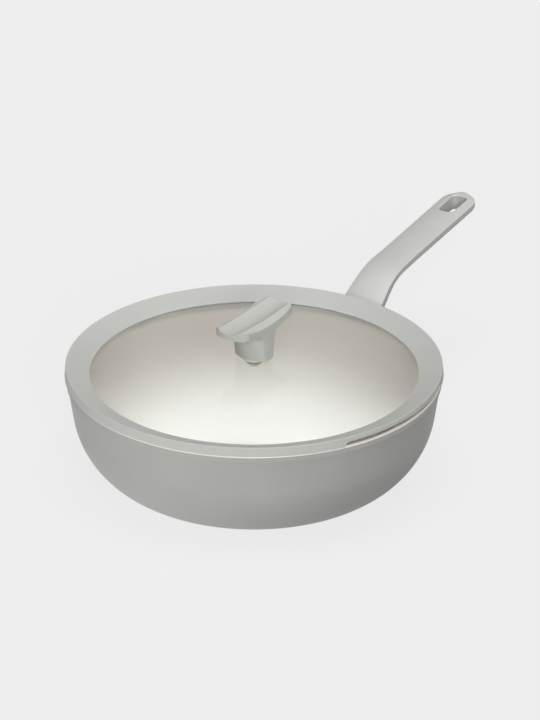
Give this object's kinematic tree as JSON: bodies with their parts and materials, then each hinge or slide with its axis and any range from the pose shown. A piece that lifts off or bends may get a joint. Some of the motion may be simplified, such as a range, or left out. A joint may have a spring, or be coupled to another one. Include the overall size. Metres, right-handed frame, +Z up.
{
  "type": "wok with lid",
  "caption": "Deep round pan with a cranked handle and a domed glass lid whose silicone ring has straining openings on both sides.",
  "frame": {"origin": "centre of the base's flat underside, on the pan's axis", "axes": "+X along the handle, +Z up"},
  "size_m": [0.4708, 0.2936, 0.1383],
  "materials": {
    "pan_coating": "satin ceramic coating, grey outside and cream inside",
    "plate_steel": "brushed in circles",
    "bracket_metal": "as cast",
    "handle_plastic": "soft-touch matte",
    "screw_steel": "turned",
    "ring_silicone": "matte",
    "lid_glass": "clear",
    "knob_plastic": "soft-touch matte",
    "insert_brass": "turned",
    "gasket_silicone": "matte"
  },
  "bodies": {
    "pan": {"pan_body": "pan_coating", "induction_plate": "plate_steel", "handle_bracket": "bracket_metal", "handle_grip": "handle_plastic", "handle_screw": "screw_steel", "handle_screw_washer": "screw_steel"},
    "lid_carrier": {"knob_screw": "screw_steel", "knob_screw_washer": "screw_steel"},
    "lid": {"lid_ring": "ring_silicone", "lid_glass": "lid_glass", "knob": "knob_plastic", "knob_insert": "insert_brass", "knob_gasket": "gasket_silicone", "inner_gasket": "gasket_silicone"}
  },
  "joints": [
    {"name": "lid_lift", "type": "slide", "parent": "pan", "child": "lid_carrier", "axis": [0, 0, 1], "range_m": [0, 0.15]},
    {"name": "lid_turn", "type": "hinge", "parent": "lid_carrier", "child": "lid", "pos_m": [0, 0, 0.0948], "axis": [0, 0, 1], "continuous": true}
  ]
}
